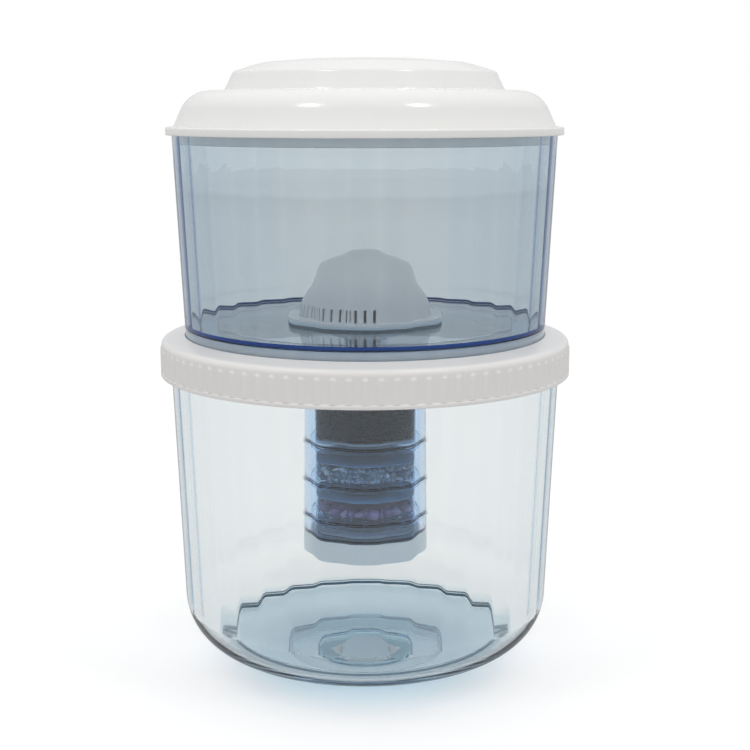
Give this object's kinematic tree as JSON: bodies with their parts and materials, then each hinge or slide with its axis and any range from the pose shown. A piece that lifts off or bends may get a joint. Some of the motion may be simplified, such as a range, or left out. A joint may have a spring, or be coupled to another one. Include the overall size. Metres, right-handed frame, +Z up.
{
  "type": "gravity water filter",
  "caption": "Two stacked round tanks with a ceramic dome prefilter, a hanging media cartridge, a ribbed collar, a two-tier lid and a plugged floor outlet.",
  "frame": {"origin": "centre of the foot ring, on the surface the filter stands on", "axes": "+Z up along the tanks' common axis, -Y the front, +X to the right seen from the front"},
  "size_m": [0.27, 0.27, 0.4048],
  "materials": {
    "lid_white": "gloss",
    "collar_white": "gloss",
    "tank_blue": "gloss",
    "tank_aqua": "gloss",
    "cover_white": "satin",
    "base_blue": "gloss",
    "ceramic": "matte",
    "nut_white": "satin",
    "plug_white": "satin",
    "silicone": "matte",
    "felt": "matte",
    "cup_clear": "gloss",
    "carbon": "matte",
    "crystal": "gloss",
    "stone_pink": "satin",
    "outlet_white": "gloss"
  },
  "bodies": {
    "lower_tank": {"lower_tank": "tank_aqua", "outlet_seal": "silicone", "collar_seal": "silicone"},
    "outlet_plug": {"outlet_plug": "plug_white"},
    "collar": {"collar": "collar_white"},
    "upper_tank": {"upper_tank": "tank_blue", "floor_gasket": "silicone", "dome_base": "base_blue", "ceramic_dome": "ceramic", "nut_gasket": "silicone"},
    "dome_cover": {"dome_cover": "cover_white"},
    "clamp_nut": {"clamp_nut": "nut_white"},
    "lid": {"lid": "lid_white"},
    "cartridge_gasket": {"cartridge_gasket": "silicone"},
    "cartridge": {"cartridge_cap": "cup_clear", "cap_pad": "felt", "carbon_cup": "cup_clear", "carbon_bed": "carbon", "carbon_pad": "felt", "silica_cup": "cup_clear", "silica_bed": "crystal", "mineral_cup": "cup_clear", "mineral_bed": "stone_pink", "outlet_cup": "cup_clear", "outlet_pad": "felt", "outlet_base": "outlet_white"}
  },
  "joints": [
    {"name": "plug_lift", "type": "slide", "parent": "lower_tank", "child": "outlet_plug", "axis": [0, 0, 1], "range_m": [0, 0.002]},
    {"name": "collar_turn", "type": "hinge", "parent": "lower_tank", "child": "collar", "pos_m": [0, 0, 0.2107], "axis": [0, 0, 1], "range_deg": [0, 30]},
    {"name": "upper_tank_lift", "type": "slide", "parent": "collar", "child": "upper_tank", "axis": [0, 0, 1], "range_m": [0, 0.2]},
    {"name": "lid_lift", "type": "slide", "parent": "upper_tank", "child": "lid", "axis": [0, 0, 1], "range_m": [0, 0.06]},
    {"name": "cover_lift", "type": "slide", "parent": "upper_tank", "child": "dome_cover", "axis": [0, 0, 1], "range_m": [0, 0.05]},
    {"name": "nut_turn", "type": "hinge", "parent": "upper_tank", "child": "clamp_nut", "pos_m": [0, 0, 0.2262], "axis": [0, 0, -1], "range_deg": [0, 120]},
    {"name": "cartridge_lower", "type": "slide", "parent": "upper_tank", "child": "cartridge_gasket", "axis": [0, 0, -1], "range_m": [0, 0.009]},
    {"name": "cartridge_turn", "type": "hinge", "parent": "cartridge_gasket", "child": "cartridge", "pos_m": [0, 0, 0.2165], "axis": [0, 0, -1], "range_deg": [0, 1080]}
  ],
  "couplings": [
    {"joint": "cartridge_lower", "follows": "cartridge_turn", "m_per_rad": 0.00047746}
  ]
}
